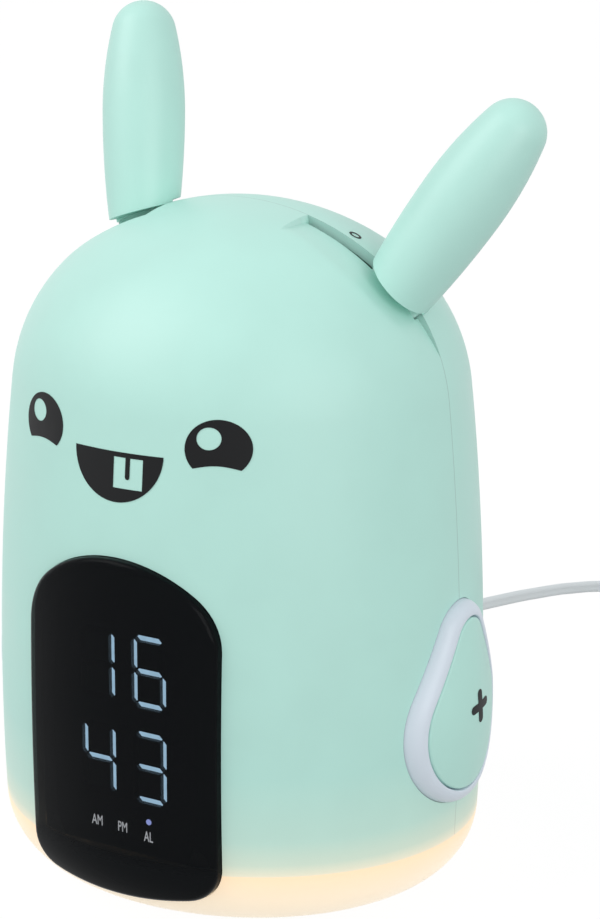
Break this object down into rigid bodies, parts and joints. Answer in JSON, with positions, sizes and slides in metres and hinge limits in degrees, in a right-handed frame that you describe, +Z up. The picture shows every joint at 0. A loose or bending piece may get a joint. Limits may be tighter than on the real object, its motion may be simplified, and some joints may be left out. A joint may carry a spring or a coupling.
{
  "type": "alarm clock",
  "caption": "Rabbit-shaped alarm clock with an opal night-light foot, a tall glossy display, ears that fold outward, large press buttons on its sides and a supply cord.",
  "frame": {"origin": "middle of the body, on the surface that the rubber feet stand on", "axes": "-Y to the front, where the display is; +X to the side of the plus button and the folded ear; +Z up"},
  "size_m": [0.133, 0.2827, 0.1879],
  "materials": {
    "mint_plastic": "satin moulded, very light mint green",
    "ear_plastic": "satin moulded, very light mint green",
    "button_plastic": "satin moulded, very light mint green",
    "lever_plastic": "plain moulded",
    "opal_plastic": "milky and translucent, lit warm from inside",
    "ring_plastic": "milky and translucent, faintly violet",
    "white_plastic": "plain moulded white",
    "black_gloss": "smoked black, polished",
    "digit_light": "lit pale blue",
    "black_plastic": "plain moulded black",
    "circuit_board": "green solder mask",
    "lamp_resin": "yellow lamp resin",
    "screw_steel": "plated",
    "plug_steel": "nickel-plated sheet",
    "foot_rubber": "soft black",
    "cord_sheath": "smooth pale grey",
    "cord_plastic": "moulded pale grey"
  },
  "bodies": {
    "housing": {"front_shell": "mint_plastic", "rear_shell": "mint_plastic", "night_light_base": "opal_plastic", "base_plate": "white_plastic", "rubber_feet": "foot_rubber", "light_tray": "white_plastic", "light_board": "circuit_board", "light_lamps": "lamp_resin", "display_lens": "black_gloss", "display_digits": "digit_light", "display_frame": "black_plastic", "display_board": "circuit_board", "right_arm_ring": "ring_plastic", "left_arm_ring": "ring_plastic", "arm_boards": "circuit_board", "arm_switches": "black_plastic", "ear_frame": "white_plastic", "pivot_screws": "screw_steel", "ear_switches": "black_plastic", "main_board": "circuit_board", "key_switches": "black_plastic", "speaker": "black_plastic", "housing_screws": "screw_steel", "base_screws": "screw_steel", "board_screws": "screw_steel", "frame_screws": "screw_steel", "backup_cell": "screw_steel", "cell_cover": "white_plastic", "strain_relief": "cord_sheath", "cord": "cord_sheath", "cord_coil": "cord_sheath", "cord_tail": "cord_sheath", "plug_body": "cord_plastic", "plug_shell": "plug_steel"},
    "right_ear": {"right_ear": "ear_plastic", "right_ear_lever": "lever_plastic"},
    "left_ear": {"left_ear": "ear_plastic", "left_ear_lever": "lever_plastic"},
    "plus_button": {"plus_button": "button_plastic"},
    "minus_button": {"minus_button": "button_plastic"},
    "light_key": {"light_key": "button_plastic"},
    "set_key": {"set_key": "button_plastic"},
    "sound_key": {"sound_key": "button_plastic"}
  },
  "joints": [
    {"name": "right_ear_fold", "type": "hinge", "parent": "housing", "child": "right_ear", "pos_m": [0.01172, 0, 0.10568], "axis": [0, 1, 0], "range_deg": [-26, 0]},
    {"name": "left_ear_fold", "type": "hinge", "parent": "housing", "child": "left_ear", "pos_m": [-0.01172, 0, 0.10568], "axis": [0, -1, 0], "range_deg": [0, 26]},
    {"name": "plus_press", "type": "slide", "parent": "housing", "child": "plus_button", "axis": [-1, 0, 0], "range_m": [0, 0.0008], "stiffness_N_per_m": 1000},
    {"name": "minus_press", "type": "slide", "parent": "housing", "child": "minus_button", "axis": [1, 0, 0], "range_m": [0, 0.0008], "stiffness_N_per_m": 1000},
    {"name": "light_press", "type": "slide", "parent": "housing", "child": "light_key", "axis": [0, -1, 0], "range_m": [0, 0.0005], "stiffness_N_per_m": 400},
    {"name": "set_press", "type": "slide", "parent": "housing", "child": "set_key", "axis": [0, -1, 0], "range_m": [0, 0.0005], "stiffness_N_per_m": 400},
    {"name": "sound_press", "type": "slide", "parent": "housing", "child": "sound_key", "axis": [0, -1, 0], "range_m": [0, 0.0005], "stiffness_N_per_m": 400}
  ]
}
